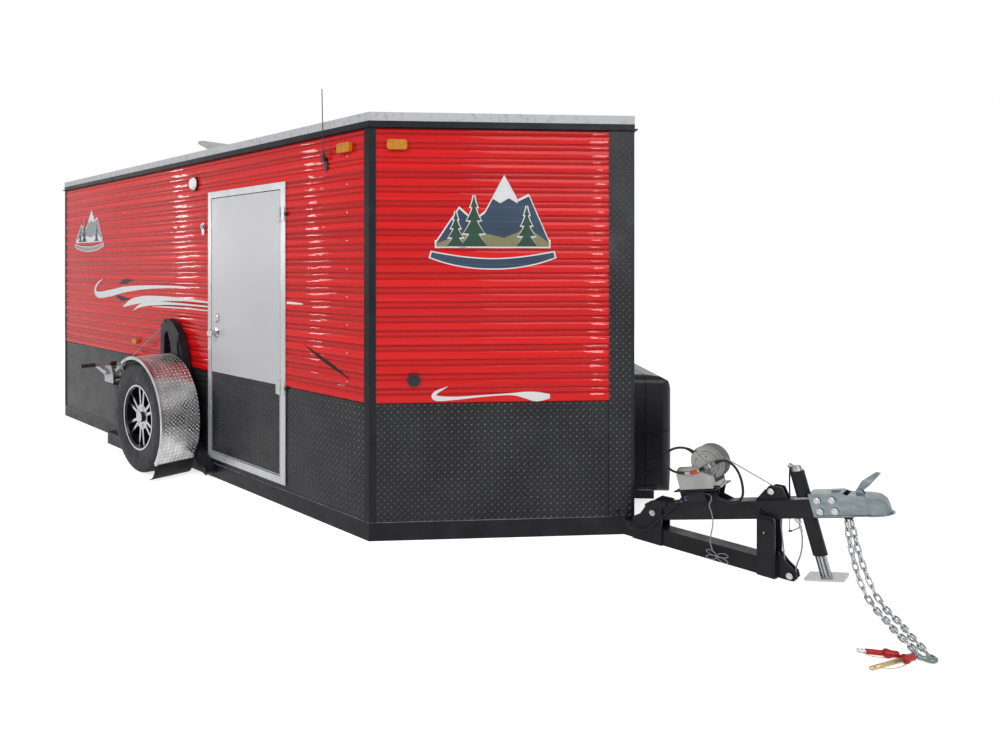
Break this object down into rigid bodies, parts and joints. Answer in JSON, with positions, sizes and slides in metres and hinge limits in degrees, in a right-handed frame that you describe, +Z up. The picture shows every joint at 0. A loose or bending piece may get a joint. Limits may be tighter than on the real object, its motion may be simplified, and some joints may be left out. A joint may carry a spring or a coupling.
{
  "type": "wheeled ice fishing hut",
  "caption": "V-nosed ice fishing hut on a steel frame with pivoting wheel arms, hand winches, a side door and a hinged winch-lowered tongue with coupler and jack.",
  "frame": {"origin": "on the ground under the middle of the straight side walls, where the steel frame rests", "axes": "+X forward to the coupler, +Y to the left side, +Z up"},
  "size_m": [6.1967, 2.628, 2.3057],
  "materials": {
    "frame_paint": "satin",
    "siding_paint": "gloss",
    "tread_plate_black": "gloss",
    "floor_board": "matte",
    "roof_skin": "satin",
    "vent_plastic": "matte",
    "door_paint": "satin",
    "lock_chrome": "polished",
    "fitting_plastic": "satin",
    "marker_lens": "gloss",
    "bottle_cover_plastic": "textured",
    "winch_zinc": "zinc plated",
    "fender_tread_plate": "tread plate",
    "flap_rubber": "matte",
    "tyre_rubber": "matte",
    "rim_finish": "machined",
    "cord_rubber": "satin",
    "lanyard_cord": "matte",
    "plug_plastic": "matte"
  },
  "bodies": {
    "house": {"bottle_cover": "bottle_cover_plastic", "bottle_shelf": "frame_paint", "chain_ends_and_pins": "winch_zinc", "corner_trims": "tread_plate_black", "door_frame": "door_paint", "drip_trim": "tread_plate_black", "floor": "floor_board", "frame": "frame_paint", "frame_crossmembers": "frame_paint", "gear_mounts": "frame_paint", "hand_winches": "winch_zinc", "left_lift_cable": "winch_zinc", "left_wall": "siding_paint", "marker_lights": "marker_lens", "nose_cap": "tread_plate_black", "nose_wall_left": "siding_paint", "nose_wall_right": "siding_paint", "rear_wall": "siding_paint", "right_lift_cable": "winch_zinc", "right_wall_by_door": "siding_paint", "right_wall_front": "siding_paint", "right_wall_rear": "siding_paint", "roof": "roof_skin", "roof_vent": "vent_plastic", "safety_chains": "winch_zinc", "tongue_base": "frame_paint", "tongue_cradle": "frame_paint", "tongue_harness": "cord_rubber", "tread_plate_skirt": "tread_plate_black", "wall_fittings": "fitting_plastic", "winch_rope_lower": "winch_zinc"},
    "door": {"door_leaf": "door_paint", "door_kick_panel": "tread_plate_black", "door_lockset": "lock_chrome"},
    "right_arm": {"right_arm": "frame_paint", "right_fender": "fender_tread_plate", "right_flap": "flap_rubber"},
    "left_arm": {"left_arm": "frame_paint", "left_fender": "fender_tread_plate", "left_flap": "flap_rubber"},
    "right_wheel": {"right_tyre": "tyre_rubber", "right_rim": "rim_finish"},
    "left_wheel": {"left_tyre": "tyre_rubber", "left_rim": "rim_finish"},
    "right_crank": {"right_crank": "winch_zinc"},
    "left_crank": {"left_crank": "winch_zinc"},
    "tongue": {"tongue_beam": "frame_paint", "tongue_winch_mount": "frame_paint", "tongue_winch": "winch_zinc", "jack_tube": "frame_paint", "coupler": "winch_zinc", "winch_lead": "cord_rubber", "power_lead": "cord_rubber", "lead_plug": "plug_plastic", "switch_lanyard": "lanyard_cord", "lanyard_bow": "lanyard_cord"},
    "jack_leg": {"jack_leg": "winch_zinc"},
    "coupler_latch": {"coupler_latch": "winch_zinc"}
  },
  "joints": [
    {"name": "door_hinge", "type": "hinge", "parent": "house", "child": "door", "pos_m": [1.3, -1.0045, 0], "axis": [0, 0, 1], "range_deg": [0, 160]},
    {"name": "right_arm_pivot", "type": "hinge", "parent": "house", "child": "right_arm", "pos_m": [0.562, -1.0255, 0.062], "axis": [0, -1, 0], "range_deg": [0, 48], "deforming": ["right_lift_cable"]},
    {"name": "right_wheel_spin", "type": "hinge", "parent": "right_arm", "child": "right_wheel", "pos_m": [0.126, -1.1875, 0.357], "axis": [0, 1, 0], "continuous": true},
    {"name": "right_crank_spin", "type": "hinge", "parent": "house", "child": "right_crank", "pos_m": [-0.83, -1.107, 0.525], "axis": [0, 1, 0], "continuous": true},
    {"name": "left_arm_pivot", "type": "hinge", "parent": "house", "child": "left_arm", "pos_m": [0.562, 1.0255, 0.062], "axis": [0, -1, 0], "range_deg": [0, 48], "deforming": ["left_lift_cable"]},
    {"name": "left_wheel_spin", "type": "hinge", "parent": "left_arm", "child": "left_wheel", "pos_m": [0.126, 1.1875, 0.357], "axis": [0, 1, 0], "continuous": true},
    {"name": "left_crank_spin", "type": "hinge", "parent": "house", "child": "left_crank", "pos_m": [-0.83, 1.107, 0.525], "axis": [0, 1, 0], "continuous": true},
    {"name": "tongue_pivot", "type": "hinge", "parent": "house", "child": "tongue", "pos_m": [3.03, 0, 0.15], "axis": [0, -1, 0], "range_deg": [-11, 8], "deforming": ["winch_rope_lower", "safety_chains", "tongue_harness"]},
    {"name": "jack_slide", "type": "slide", "parent": "tongue", "child": "jack_leg", "axis": [0.2588, 0, -0.9659], "range_m": [-0.06, 0.25]},
    {"name": "latch_pivot", "type": "hinge", "parent": "tongue", "child": "coupler_latch", "pos_m": [3.87221, 0, 0.43779], "axis": [0, -1, 0], "range_deg": [0, 110]}
  ]
}
